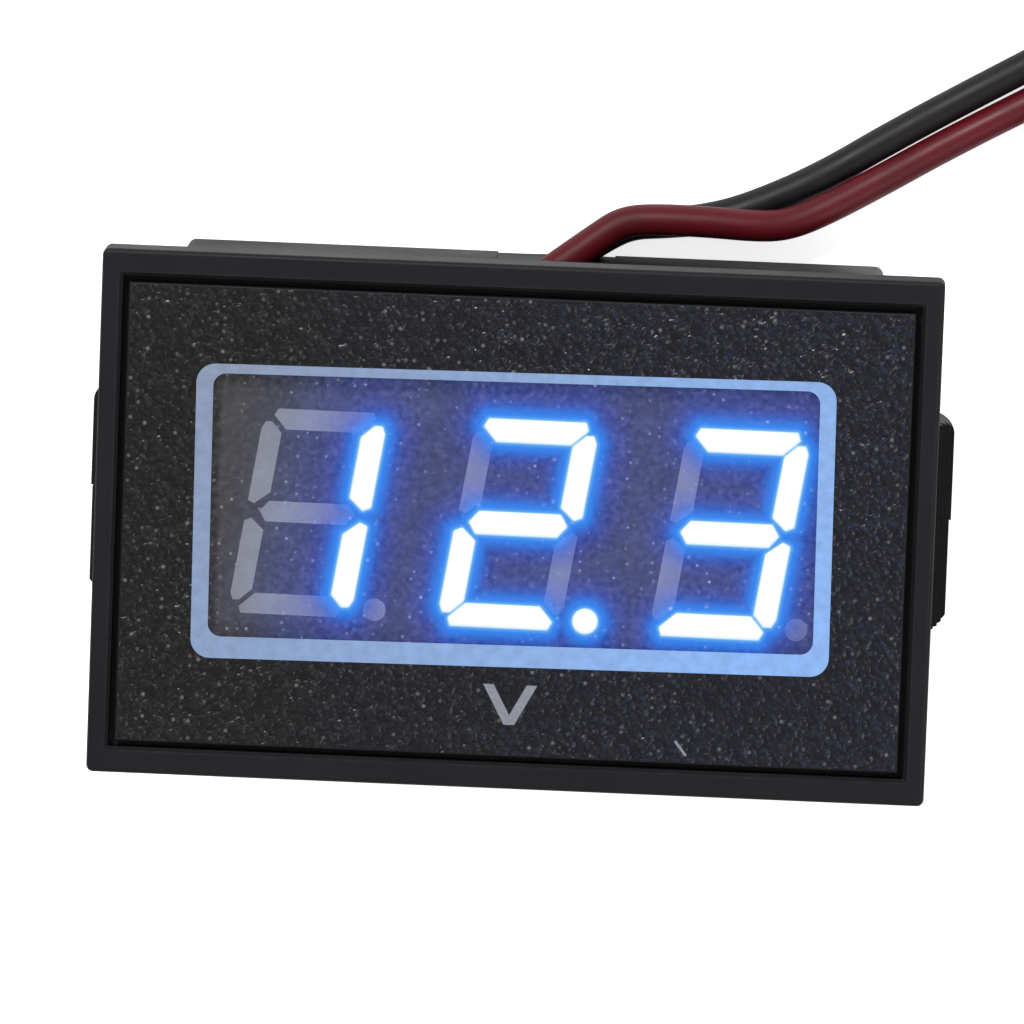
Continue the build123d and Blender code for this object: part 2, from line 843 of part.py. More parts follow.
# Filter capacitor's can, with a crimped waist
can_z = board_top + capacitor_base_height
with BuildPart() as filter_capacitor_can:
    with BuildSketch(Plane(origin=(capacitor_x, capacitor_y, can_z), x_dir=(1, 0, 0), z_dir=(0, -1, 0))):
        with BuildLine():
            Polyline(
                (0, 0),
                (can_radius, 0),
                (can_radius, can_waist_z - can_waist_height / 2),
                (can_radius - can_waist, can_waist_z),
                (can_radius, can_waist_z + can_waist_height / 2),
                (can_radius, can_height - can_waist),
                (can_radius - can_waist, can_height),
                (0, can_height),
                close=True,
            )
        make_face()
    revolve(axis=Axis((capacitor_x, capacitor_y, 0), (0, 0, 1)))
filter_capacitor_can.part.label = "filter_capacitor_can"
export_step(filter_capacitor_can.part, "parts/filter_capacitor_can.step")
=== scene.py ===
import json
import math

import bpy
import numpy as np
from mathutils import Matrix, Vector


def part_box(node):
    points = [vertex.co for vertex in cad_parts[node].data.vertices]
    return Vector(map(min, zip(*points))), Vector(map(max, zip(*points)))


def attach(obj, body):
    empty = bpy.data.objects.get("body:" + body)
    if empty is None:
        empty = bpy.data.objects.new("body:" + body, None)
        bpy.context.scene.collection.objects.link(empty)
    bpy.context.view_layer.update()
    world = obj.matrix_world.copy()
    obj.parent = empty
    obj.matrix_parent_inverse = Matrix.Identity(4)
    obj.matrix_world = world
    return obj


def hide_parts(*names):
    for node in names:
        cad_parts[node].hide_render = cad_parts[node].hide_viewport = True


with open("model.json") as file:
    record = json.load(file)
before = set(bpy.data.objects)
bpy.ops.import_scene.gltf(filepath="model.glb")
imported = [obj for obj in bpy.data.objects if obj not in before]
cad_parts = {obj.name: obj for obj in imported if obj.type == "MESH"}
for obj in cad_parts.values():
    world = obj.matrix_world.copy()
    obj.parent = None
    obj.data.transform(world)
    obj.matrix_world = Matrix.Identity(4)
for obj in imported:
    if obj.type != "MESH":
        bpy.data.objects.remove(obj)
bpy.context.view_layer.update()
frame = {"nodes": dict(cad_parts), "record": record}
nodes = frame["nodes"]
mm = 0.001
tiny = 1e-12  # keeps a division away from zero
print("stage: frame loaded,", len(nodes), "nodes")

# Camera, as in the photograph: over the face, tipped towards the top edge and rolled a little

camera = {
    "target": (-0.137, 0.922, 22.0),  # mm, the point at the middle of the picture
    "pitch": 7.6,
    "yaw": 1.8,
    "roll": 2.153,
    "distance": 650.0,
    "lens": 400.7,
    "sensor": 36.0,
}


def placeCamera(c):
    # the view axis leans by pitch and yaw from straight down, then right and up turn about it by roll
    pitch, yaw, roll = (math.radians(c[k]) for k in ("pitch", "yaw", "roll"))
    out = Vector((math.sin(yaw) * math.cos(pitch), math.sin(pitch), math.cos(yaw) * math.cos(pitch)))
    right = Vector((0, 1, 0)).cross(out).normalized()
    up = out.cross(right)
    right, up = (
        math.cos(roll) * right + math.sin(roll) * up,
        -math.sin(roll) * right + math.cos(roll) * up,
    )
    eye = (Vector(c["target"]) + c["distance"] * out) * mm
    data = bpy.data.cameras.new("camera")
    data.lens = c["lens"]
    data.sensor_width = c["sensor"]
    data.clip_start = 0.01
    data.clip_end = 20
    obj = bpy.data.objects.new("camera", data)
    turned = Matrix((right, up, out)).transposed()
    obj.matrix_world = Matrix.Translation(eye) @ turned.to_4x4()
    bpy.context.scene.collection.objects.link(obj)
    bpy.context.scene.camera = obj


placeCamera(camera)

# Node and group helpers


def addNode(tree, kind, values=None, **settings):
    # one shader node; values are its inputs, each a number, a colour or another node's output
    made = tree.nodes.new("ShaderNode" + kind)
    for key, value in settings.items():
        setattr(made, key, value)
    for key, value in (values or {}).items():
        if isinstance(value, bpy.types.NodeSocket):
            tree.links.new(value, made.inputs[key])
        else:
            made.inputs[key].default_value = value
    return made


def maths(tree, operation, *values):
    return addNode(tree, "Math", dict(enumerate(values)), operation=operation).outputs[0]


def vectorMaths(tree, operation, first, second):
    return addNode(tree, "VectorMath", {0: first, 1: second}, operation=operation).outputs


def objectPlace(tree):
    return addNode(tree, "TexCoord").outputs["Object"]


def meshValue(tree, name):
    # a number that the piece's mesh carries at each vertex
    return addNode(tree, "Attribute", attribute_name=name, attribute_type="GEOMETRY").outputs["Fac"]


def scaled(colour, by):
    return [c * by for c in colour]


def ramp(tree, value, low, high, first=0.0, last=1.0):
    # value from low to high becomes first to last, and stays there
    made = addNode(tree, "MapRange", {0: value, 1: low, 2: high, 3: first, 4: last})
    return made.outputs[0]


def mixColour(tree, share, first, second):
    made = tree.nodes.new("ShaderNodeMix")
    made.data_type = "RGBA"
    for place, value in ((0, share), (6, first), (7, second)):
        if isinstance(value, bpy.types.NodeSocket):
            tree.links.new(value, made.inputs[place])
        elif place:
            made.inputs[place].default_value = (*value[:3], 1)
        else:
            made.inputs[place].default_value = value
    return made.outputs[2]


def newGroup(name, inputs, outputs):
    # a shader node group; inputs are (name, kind, value) and outputs are (name, kind)
    group = bpy.data.node_groups.new(name, "ShaderNodeTree")
    for label, kind, value in inputs:
        socket = group.interface.new_socket(label, in_out="INPUT", socket_type="NodeSocket" + kind)
        if value is not None:
            socket.default_value = value
    for label, kind in outputs:
        group.interface.new_socket(label, in_out="OUTPUT", socket_type="NodeSocket" + kind)
    return group, group.nodes.new("NodeGroupInput").outputs, group.nodes.new("NodeGroupOutput").inputs


def noise(tree, place, scale, detail):
    values = {"Vector": place, "Scale": scale, "Detail": detail}
    return addNode(tree, "TexNoise", values).outputs[0]


def makeMouldGrain():
    # fine spark-eroded grain of a moulding: two sizes of noise give a height, and a slow one a tone
    group, given, out = newGroup(
        "mouldGrain",
        [("Place", "Vector", None), ("Scale", "Float", 6000.0), ("Drift", "Float", 160.0)],
        [("Height", "Float"), ("Tone", "Float")],
    )
    coarser = 0.37
    fine = noise(group, given["Place"], given["Scale"], 1.0)
    broad = noise(group, given["Place"], maths(group, "MULTIPLY", given["Scale"], coarser), 0.0)
    slow = noise(group, given["Place"], given["Drift"], 2.0)
    both = maths(group, "ADD", fine, broad)
    group.links.new(maths(group, "MULTIPLY", both, 0.5), out["Height"])
    group.links.new(ramp(group, slow, 0.3, 0.7), out["Tone"])
    return group


def makePaintedEdgeSheen():
    # painted highlight on edges: how far the normal rounded over the radius turns from the true one, broken
    # up by noise
    group, given, out = newGroup(
        "paintedEdgeSheen",
        [("Place", "Vector", None), ("Radius", "Float", 0.0002), ("Breakup", "Float", 900.0)],
        [("Edge", "Float")],
    )
    rounded = addNode(group, "Bevel", {"Radius": given["Radius"]}, samples=2).outputs[0]
    true = addNode(group, "NewGeometry").outputs["Normal"]
    edgeSheen = ramp(group, vectorMaths(group, "DOT_PRODUCT", rounded, true)["Value"], 0.995, 0.8)
    broken = ramp(group, noise(group, given["Place"], given["Breakup"], 4.0), 0.35, 0.6, 0.35)
    group.links.new(maths(group, "MULTIPLY", edgeSheen, broken), out["Edge"])
    return group


def makeSpecks():
    # scattered points: the middles of those cells whose random value is under the share
    group, given, out = newGroup(
        "specks",
        [("Place", "Vector", None), ("Scale", "Float", 2200.0), ("Share", "Float", 0.1),
         ("Size", "Float", 0.2)],
        [("Speck", "Float")],
    )
    dimmest = 0.3
    cells = addNode(group, "TexVoronoi", {"Vector": given["Place"], "Scale": given["Scale"]}).outputs
    spot = maths(group, "SUBTRACT", 1.0, maths(group, "DIVIDE", cells["Distance"], given["Size"]))
    spot = addNode(group, "Clamp", {0: spot}).outputs[0]
    channels = addNode(group, "SeparateColor", {0: cells["Color"]}).outputs
    chosen = maths(group, "LESS_THAN", channels[0], given["Share"])
    bright = ramp(group, channels[1], 0.0, 1.0, dimmest)
    spot = maths(group, "MULTIPLY", spot, chosen)
    group.links.new(maths(group, "MULTIPLY", spot, bright), out["Speck"])
    return group


groups = {"mouldGrain": makeMouldGrain(), "paintedEdgeSheen": makePaintedEdgeSheen(), "specks": makeSpecks()}


def useGroup(tree, name, **values):
    made = tree.nodes.new("ShaderNodeGroup")
    made.node_tree = groups[name]
    tree.links.new(objectPlace(tree), made.inputs["Place"])
    for key, value in values.items():
        made.inputs[key].default_value = value
    return made.outputs


def newMaterial(name, colour, roughness, metallic=0.0):
    mat = bpy.data.materials.new(name)
    mat.use_nodes = True
    shader = mat.node_tree.nodes["Principled BSDF"]
    shader.inputs["Base Color"].default_value = (*colour, 1)
    shader.inputs["Roughness"].default_value = roughness
    shader.inputs["Metallic"].default_value = metallic
    return mat, mat.node_tree, shader


def bump(tree, shader, height, distance, strength=1.0):
    made = addNode(tree, "Bump", {"Height": height, "Distance": distance, "Strength": strength})
    tree.links.new(made.outputs[0], shader.inputs["Normal"])


def feed(tree, shader, **outputs):
    # links outputs to the shader's inputs, whose names are given without their spaces
    for key, output in outputs.items():
        label = next(i.name for i in shader.inputs if i.name.replace(" ", "") == key)
        tree.links.new(output, shader.inputs[label])


# Finishes: one function for each material slot


def mouldedBlack(name, colour, edgeSheen, rough):
    # matt black moulding, a little uneven in tone, with a painted highlight along its edges
    mat, tree, shader = newMaterial(name, colour, rough)
    shader.inputs["Specular IOR Level"].default_value = 0.26
    grain = useGroup(tree, "mouldGrain", Scale=7000.0, Drift=140.0)
    # the edges get a painted highlight in the edge colour
    edgeLit = useGroup(tree, "paintedEdgeSheen", Radius=0.00022, Breakup=700.0)
    tone = mixColour(tree, grain["Tone"], colour, scaled(colour, 1.35))
    feed(tree, shader, BaseColor=mixColour(tree, edgeLit["Edge"], tone, edgeSheen),
         Roughness=ramp(tree, grain["Tone"], 0, 1, rough - 0.05, rough + 0.06))
    bump(tree, shader, grain["Height"], 0.00003, 0.5)
    return mat


mark = {  # the unit mark under the window, in mm
    "x": 0.13,
    "bottom": -11.375,
    "height": 2.35,
    "halfBottom": 0.31,
    "halfTop": 1.575,
    "stroke": 0.6,
    "soft": 0.035,
    "colour": (0.27, 0.28, 0.33),
}


def unitMark(tree, m):
    # inside where the height is between the ends and the distance from the leaning line is under the stroke
    place = addNode(tree, "SeparateXYZ", {0: objectPlace(tree)}).outputs
    up = maths(tree, "SUBTRACT", place[1], m["bottom"] * mm)
    aside = maths(tree, "ABSOLUTE", maths(tree, "SUBTRACT", place[0], m["x"] * mm))
    slope = (m["halfTop"] - m["halfBottom"]) / m["height"]
    outer = maths(tree, "MULTIPLY_ADD", up, slope, m["halfBottom"] * mm)
    within = maths(tree, "SUBTRACT", outer, aside)
    soft, stroke, height = (m[key] * mm for key in ("soft", "stroke", "height"))
    share = ramp(tree, within, 0.0, soft)
    share = maths(tree, "MULTIPLY", share, ramp(tree, within, stroke, stroke + soft, 1.0, 0.0))
    share = maths(tree, "MULTIPLY", share, ramp(tree, up, 0.0, soft))
    return maths(tree, "MULTIPLY", share, ramp(tree, up, height - soft, height, 1.0, 0.0))


scratch = {  # a light nick in the film, in mm; its edge fades from the half width in to the core
    "from": (9.7, -11.93),
    "to": (10.28, -12.67),
    "halfWidth": 0.1,
    "core": 0.04,
}


def scratchMark(tree, s):
    # inside where the distance to the line between the two ends is under the half width
    (x, y), (endX, endY) = s["from"], s["to"]
    start, run = (x * mm, y * mm, 0), ((endX - x) * mm, (endY - y) * mm, 0)
    flat = vectorMaths(tree, "MULTIPLY", objectPlace(tree), (1, 1, 0))[0]
    away = vectorMaths(tree, "SUBTRACT", flat, start)[0]
    along = vectorMaths(tree, "DOT_PRODUCT", away, run)["Value"]
    share = maths(tree, "DIVIDE", along, run[0] ** 2 + run[1] ** 2)
    share = addNode(tree, "Clamp", {0: share}).outputs[0]
    beside = addNode(tree, "VectorMath", {0: run, "Scale": share}, operation="SCALE").outputs[0]
    gap = vectorMaths(tree, "DISTANCE", away, beside)["Value"]
    return ramp(tree, gap, s["halfWidth"] * mm, s["core"] * mm)


def pebbledFilm():
    # painted shade between the pebbles and painted highlight on their tops, with a painted blue glow of the
    # lit digits towards their side
    mat, tree, shader = newMaterial("face film", (0.013, 0.013, 0.0135), 0.32)
    grain = useGroup(tree, "mouldGrain", Scale=3700.0, Drift=1300.0)
    glint = useGroup(tree, "specks", Scale=2300.0, Share=0.2, Size=0.34)
    place = addNode(tree, "SeparateXYZ", {0: objectPlace(tree)}).outputs
    # painted glow: the film's colours turn blue towards the lit digits on the right
    paintedGlowShare = ramp(tree, place[0], -0.018, 0.008)
    top = mixColour(tree, paintedGlowShare, (0.019, 0.02, 0.02), (0.014, 0.019, 0.05))
    valley = mixColour(tree, paintedGlowShare, (0.0006, 0.0006, 0.0007), (0.0007, 0.001, 0.006))
    # the pebble's height gives painted highlight on the tops and painted shade in the valleys
    tops = ramp(tree, meshValue(tree, "pebble"), 0.4, 0.95)
    paintedTopLight = maths(tree, "MULTIPLY", tops, ramp(tree, grain["Tone"], 0, 1, 0.35, 1.0))
    tone = mixColour(tree, paintedTopLight, valley, top)
    # pale specks painted into the colour as glints
    glinting = mixColour(tree, glint["Speck"], tone, (0.24, 0.24, 0.25))
    marked = mixColour(tree, unitMark(tree, mark), glinting, mark["colour"])
    nicked = mixColour(tree, scratchMark(tree, scratch), marked, mark["colour"])
    feed(tree, shader, BaseColor=nicked, Roughness=ramp(tree, grain["Height"], 0.3, 0.7, 0.22, 0.36))
    bump(tree, shader, grain["Height"], 0.0002, 0.65)
    return mat


def borderInk():
    # the print is paler beside the unlit digit and, towards the right, carries a painted blue glow of the lit
    # digits, in its colour and in a faint emission
    pale, paintedGlowBlue = (0.27, 0.335, 0.48), (0.25, 0.42, 0.76)
    mat, tree, shader = newMaterial("border ink", pale, 0.55)
    grain = useGroup(tree, "mouldGrain", Scale=3600.0, Drift=1500.0)
    place = addNode(tree, "SeparateXYZ", {0: objectPlace(tree)}).outputs
    share = maths(tree, "MULTIPLY_ADD", ramp(tree, place[1], 0.009, -0.008), 0.25,
                  ramp(tree, place[0], -0.016, 0.012, 0.0, 0.75))
    ink = mixColour(tree, share, pale, paintedGlowBlue)
    thin = ramp(tree, grain["Tone"], 0, 1, 0.0, 0.45)
    # painted glow: the print emits blue where it lies towards the lit digits
    feed(tree, shader, EmissionColor=mixColour(tree, share, (0.0, 0.0, 0.0), (0.1, 0.4, 1.0)),
         BaseColor=mixColour(tree, thin, ink, (0.17, 0.21, 0.32)))
    shader.inputs["Emission Strength"].default_value = 0.24
    bump(tree, shader, grain["Height"], 0.00003, 0.6)
    return mat


glow = {  # what the window shows of the light: mm from the lit segments' edges, cover of one skin, and colour
    "steps": [
        (-0.3, 0.14, (1.0, 1.0, 1.0)),
        (-0.1, 0.5, (0.96, 1.0, 1.0)),
        (0.0, 0.72, (1.0, 1.0, 1.0)),
        (0.06, 0.7, (0.6, 0.9, 1.0)),
        (0.13, 0.62, (0.12, 0.42, 0.9)),
        (0.3, 0.6, (0.02, 0.25, 0.95)),
        (0.55, 0.5, (0.01, 0.2, 0.88)),
        (0.9, 0.38, (0.0, 0.1, 0.66)),
        (1.3, 0.27, (0.0, 0.05, 0.54)),
        (2.2, 0.19, (0.0, 0.04, 0.42)),
        (3.6, 0.16, (0.0, 0.045, 0.33)),
        (5.2, 0.15, (0.0, 0.012, 0.1)),
        (7.5, 0.15, (0.0, 0.0, 0.0)),
    ],
    "smoke": (0.06, 0.058, 0.062),
    "mottle": 0.06,
}


def smokedWindow():
    # painted light of the lit segments by the distance to them, over a mottled smoke tint with pale specks
    mat, tree, shader = newMaterial("smoked window", glow["smoke"], 0.42)
    distance = meshValue(tree, "litDistance")
    light = tree.nodes.new("ShaderNodeValToRGB")
    light.color_ramp.interpolation = "LINEAR"
    band = light.color_ramp.elements
    near, far = glow["steps"][0][0], glow["steps"][-1][0]
    while len(band) < len(glow["steps"]):
        band.new(1.0)
    for element, (away, cover, colour) in zip(band, glow["steps"]):
        element.position = (away - near) / (far - near)
        element.color = (*colour, cover)
    tree.links.new(ramp(tree, distance, near, far), light.inputs[0])
    grain = useGroup(tree, "mouldGrain", Scale=3200.0, Drift=2900.0)
    dots = useGroup(tree, "specks", Scale=1900.0, Share=0.42, Size=0.28)
    smoke = mixColour(tree, grain["Tone"], scaled(glow["smoke"], 0.15), scaled(glow["smoke"], 2.3))
    clear = ramp(tree, distance, 0.3, 1.4)
    # painted glow: near the lit segments the smoke's colour turns blue
    smoke = mixColour(tree, clear, (0.0, 0.008, 0.05), smoke)
    speck = maths(tree, "MULTIPLY", dots["Speck"], ramp(tree, distance, 0.1, 0.5, 0.0, 0.85))
    mottle = ramp(tree, grain["Tone"], 0, 1, -glow["mottle"], glow["mottle"])
    cover = maths(tree, "MULTIPLY_ADD", mottle, clear, light.outputs[1])
    # the emission is the painted glow round the lit segments
    feed(tree, shader, BaseColor=mixColour(tree, speck, smoke, (0.8, 0.8, 0.82)),
         EmissionColor=light.outputs[0], Alpha=maths(tree, "MAXIMUM", cover, speck))
    shader.inputs["Emission Strength"].default_value = 1.0
    bump(tree, shader, grain["Height"], 0.00002, 0.6)
    return mat


def milkyResin(name, colour, lit):
    # segment resin; lit is the strength of its light, and 0 leaves it dark
    mat, tree, shader = newMaterial(name, colour, 0.35)
    grain = useGroup(tree, "mouldGrain", Scale=3800.0, Drift=700.0)
    tone = mixColour(tree, grain["Tone"], scaled(colour, 0.86), colour)
    if lit:
        tree.links.new(tone, shader.inputs["Emission Color"])
        shader.inputs["Emission Strength"].default_value = lit
    feed(tree, shader, BaseColor=tone)
    bump(tree, shader, grain["Height"], 0.00001, 0.4)
    return mat


def displayPlastic():
    mat, tree, shader = newMaterial("display body", (0.075, 0.072, 0.078), 0.55)
    grain = useGroup(tree, "mouldGrain", Scale=5000.0, Drift=350.0)
    feed(tree, shader, BaseColor=mixColour(tree, grain["Tone"], (0.062, 0.059, 0.064), (0.09, 0.087, 0.094)))
    bump(tree, shader, grain["Height"], 0.00002, 0.5)
    return mat


def solderMask():
    mat, tree, shader = newMaterial("solder mask", (0.012, 0.11, 0.045), 0.3)
    grain = useGroup(tree, "mouldGrain", Scale=2400.0, Drift=260.0)
    tracks = {
        "Vector": objectPlace(tree),
        "Scale": 420.0,
        "Color1": (0.02, 0.16, 0.065, 1),
        "Color2": (0.012, 0.11, 0.045, 1),
        "Mortar": (0.008, 0.07, 0.03, 1),
    }
    green = addNode(tree, "TexBrick", tracks).outputs[0]
    thick = ramp(tree, grain["Tone"], 0, 1, 0.0, 0.4)
    feed(tree, shader, BaseColor=mixColour(tree, thick, green, (0.01, 0.08, 0.035)))
    bump(tree, shader, grain["Height"], 0.00001, 0.4)
    shader.inputs["Coat Weight"].default_value = 0.4
    return mat


def tinnedMetal():
    mat, tree, shader = newMaterial("tinned metal", (0.62, 0.6, 0.57), 0.28, 1.0)
    grain = useGroup(tree, "mouldGrain", Scale=5200.0, Drift=900.0)
    feed(tree, shader, BaseColor=mixColour(tree, grain["Tone"], (0.46, 0.44, 0.41), (0.7, 0.68, 0.65)),
         Roughness=ramp(tree, grain["Tone"], 0, 1, 0.22, 0.42))
    bump(tree, shader, grain["Height"], 0.00002, 0.5)
    return mat


def drawnCan():
    mat, tree, shader = newMaterial("capacitor can", (0.72, 0.72, 0.72), 0.32, 1.0)
    grain = useGroup(tree, "mouldGrain", Scale=3000.0, Drift=500.0)
    feed(tree, shader, Roughness=ramp(tree, grain["Tone"], 0, 1, 0.25, 0.45))
    bump(tree, shader, grain["Height"], 0.00001, 0.4)
    return mat


def firedCeramic(name, colour, rough):
    mat, tree, shader = newMaterial(name, colour, rough)
    grain = useGroup(tree, "mouldGrain", Scale=4600.0, Drift=800.0)
    feed(tree, shader, BaseColor=mixColour(tree, grain["Tone"], scaled(colour, 0.8), colour))
    bump(tree, shader, grain["Height"], 0.00002, 0.5)
    return mat


def curedResin():
    # poured compound: a glossy skin with slow dimples and a few trapped bubbles
    mat, tree, shader = newMaterial("potting compound", (0.011, 0.011, 0.012), 0.2)
    slow = useGroup(tree, "mouldGrain", Scale=420.0, Drift=160.0)
    bubbles = useGroup(tree, "specks", Scale=420.0, Share=0.16, Size=0.22)
    height = maths(tree, "SUBTRACT", slow["Height"], maths(tree, "MULTIPLY", bubbles["Speck"], 0.6))
    feed(tree, shader, Roughness=ramp(tree, slow["Tone"], 0, 1, 0.14, 0.34),
         BaseColor=mixColour(tree, slow["Tone"], (0.009, 0.009, 0.01), (0.02, 0.02, 0.021)))
    bump(tree, shader, height, 0.00025, 0.5)
    shader.inputs["Coat Weight"].default_value = 0.5
    return mat


def vinyl(name, colour, deep):
    # extruded insulation: satin and a little uneven, with some dust on it
    mat, tree, shader = newMaterial(name, colour, 0.46)
    shader.inputs["Specular IOR Level"].default_value = 0.32
    grain = useGroup(tree, "mouldGrain", Scale=2600.0, Drift=260.0)
    dust = useGroup(tree, "specks", Scale=1500.0, Share=0.06, Size=0.14)
    tone = mixColour(tree, grain["Tone"], colour, deep)
    dusty = mixColour(tree, maths(tree, "MULTIPLY", dust["Speck"], 0.2), tone, (0.3, 0.3, 0.3))
    feed(tree, shader, BaseColor=dusty, Roughness=ramp(tree, grain["Tone"], 0, 1, 0.4, 0.54))
    bump(tree, shader, grain["Height"], 0.00002, 0.45)
    return mat


def ledDie():
    mat, tree, shader = newMaterial("led die", (0.75, 0.68, 0.22), 0.4)
    grain = useGroup(tree, "mouldGrain", Scale=9000.0, Drift=1500.0)
    feed(tree, shader, BaseColor=mixColour(tree, grain["Tone"], (0.6, 0.52, 0.16), (0.82, 0.76, 0.3)))
    return mat


finishes = {
    # the case's black is faintly blue, a painted cast of the lit digits' light
    "case_plastic": mouldedBlack("case plastic", (0.0056, 0.0059, 0.0078), (0.026, 0.027, 0.031), 0.5),
    "film": pebbledFilm(),
    "smoked_window": smokedWindow(),
    "border_ink": borderInk(),
    "display_plastic": displayPlastic(),
    "lit_segment": milkyResin("lit segment", (0.9, 1.0, 1.0), 2.4),
    "dark_segment": milkyResin("dark segment", (0.48, 0.5, 0.54), 0.0),
    "led_die": ledDie(),
    "circuit_board": solderMask(),
    "tinned_metal": tinnedMetal(),
    "chip_plastic": mouldedBlack("chip resin", (0.014, 0.014, 0.015), (0.03, 0.03, 0.03), 0.5),
    "capacitor_can": drawnCan(),
    "capacitor_ceramic": firedCeramic("capacitor ceramic", (0.42, 0.3, 0.2), 0.45),
    "potting_compound": curedResin(),
    "red_insulation": vinyl("red vinyl", (0.14, 0.005, 0.012), (0.09, 0.004, 0.009)),
    "black_insulation": vinyl("black vinyl", (0.007, 0.007, 0.008), (0.013, 0.013, 0.014)),
    "tie_plastic": mouldedBlack("tie nylon", (0.018, 0.018, 0.018), (0.05, 0.05, 0.05), 0.4),
}


def dress(obj, slot):
    if len(obj.material_slots):
        for place in obj.material_slots:
            place.material = finishes[slot]
    else:
        obj.data.materials.append(finishes[slot])


for row in frame["record"]["subparts"]:
    dress(nodes[row["node"]], row["material_slot"])
print("stage: finishes on the nodes")

# Cords: the two supply leads, on the routes of their solids, with their slack in one tied coil

leads = {  # lengths in mm and angles in degrees; a tail's points are (far, high, aside) from the coil's end
    "radius": 0.925,
    "coilCentre": (42.25, 20.5),
    "coilEntry": 120.0,
    "coilTurns": 1.5,
    "pointsPerTurn": 24,
    "layerLow": 1.33,
    "layerHigh": 3.2,
    "strandRadius": 0.15,
    "strands": 6,
    "strandTurns": 1.6,
    "strandSteps": 40,
    "strandSides": 10,
    "strandShorter": 0.05,  # the share of its length that one strand in three lacks, and another twice
    "tipLength": 4.5,
    "red": {
        "coilRadius": 9.5,
        "climb": (175.0, 145.0),
        "route": [
            (-2.9, 9.6, 7.0),
            (-2.9, 9.6, 2.85),
            (1.2, 12.85, 2.85),
            (3.7, 14.75, 2.85),
            (5.1, 15.75, 2.85),
            (6.9, 15.98, 2.85),
            (10.2, 15.95, 2.85),
            (12.9, 15.8, 2.77),
            (14.6, 15.9, 2.5),
            (16.4, 16.6, 2.15),
            (19.45, 18.27, 1.6),
            (24.05, 21.03, 1.1),
            (30.0, 24.3, 0.95),
        ],
        "tail": [(3.8, 3.25, 0.05), (7.9, 3.05, -0.1), (10.5, 2.1, -0.5), (12.4, 1.2, -1.6),
                 (13.3, 0.97, -3.4)],
        "solids": ("red_lead", "lead_coil"),
        "with": ("coil_tie",),
    },
    "black": {
        "coilRadius": 11.4,
        "climb": (205.0, 172.0),
        "route": [
            (-5.9, 7.0, 7.0),
            (-5.9, 7.0, 0.93),
            (-0.4, 11.4, 0.93),
            (2.2, 13.35, 0.93),
            (4.2, 14.75, 0.93),
            (5.6, 15.45, 0.93),
            (7.6, 15.6, 0.93),
            (9.8, 15.85, 0.93),
            (12.4, 16.6, 0.93),
            (16.6, 18.6, 0.93),
            (20.9, 21.38, 0.93),
            (27.9, 25.45, 0.93),
        ],
        "tail": [(3.2, 3.22, 0.05), (6.6, 2.75, 0.2), (9.6, 1.75, 0.55), (12.0, 1.12, 1.1),
                 (14.2, 0.97, 1.9)],
        "solids": ("black_lead",),
        "with": (),
    },
}


def coilPoints(spec, lead):
    # clockwise turns: the angle falls from the entry, and a smooth step lifts the turn where it climbs
    step = 360.0 / spec["pointsPerTurn"]
    count = int(round(spec["coilTurns"] * spec["pointsPerTurn"]))
    place = np.arange(count + 1)
    angle = spec["coilEntry"] - step * place
    start, end = (a - 360 for a in lead["climb"])
    t = np.clip((start - angle) / (start - end), 0, 1)
    height = spec["layerLow"] + (spec["layerHigh"] - spec["layerLow"]) * t * t * (3 - 2 * t)
    # between its ends the spline runs inside its points, so these stand out by the cosine of half a step
    outside = lead["coilRadius"] / math.cos(math.radians(step / 2))
    radius = np.where((place == 0) | (place == count), lead["coilRadius"], outside)
    x = spec["coilCentre"][0] + radius * np.cos(np.radians(angle))
    y = spec["coilCentre"][1] + radius * np.sin(np.radians(angle))
    return [tuple(p) for p in np.stack([x, y, height], 1)]


def tailPoints(spec, lead):
    # straight on from the coil's last point, each point so far along, so high and so far aside
    angle = math.radians(spec["coilEntry"] - 360 * spec["coilTurns"])
    along = angle - math.pi / 2
    x = spec["coilCentre"][0] + lead["coilRadius"] * math.cos(angle)
    y = spec["coilCentre"][1] + lead["coilRadius"] * math.sin(angle)
    return [
        (
            x + far * math.cos(along) - aside * math.sin(along),
            y + far * math.sin(along) + aside * math.cos(along),
            high,
        )
        for far, high, aside in lead["tail"]
    ]


def gridFaces(points, closeRows=False):
    # faces over a grid of points, rows by columns, whose columns close round and whose rows may
    rows, columns = points.shape[:2]
    row = np.arange(rows if closeRows else rows - 1)[:, None]
    column = np.arange(columns)[None, :]
    nextRow, nextColumn = (row + 1) % rows, (column + 1) % columns
    corners = [row * columns + column, row * columns + nextColumn,
               nextRow * columns + nextColumn, nextRow * columns + column]
    return np.stack(corners, -1).reshape(-1, 4).tolist()


def endFaces(points):
    # one face over the first row and one over the last
    rows, columns = points.shape[:2]
    last = (rows - 1) * columns
    return [list(range(columns))[::-1], list(range(last, last + columns))]


def newMesh(name, points, faces):
    mesh = bpy.data.meshes.new(name)
    mesh.from_pydata((points.reshape(-1, 3) * mm).tolist(), [], faces)
    return mesh


def addPiece(name, mesh, slot, replaced=(), smooth=True):
    # every piece made here is part of the meter's own body
    obj = bpy.data.objects.new(name, mesh)
    bpy.context.scene.collection.objects.link(obj)
    if smooth:
        mesh.shade_smooth()
    else:
        mesh.shade_flat()
    obj.data.materials.append(finishes[slot])
    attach(obj, "meter")
    if replaced:
        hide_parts(*replaced)
    return obj


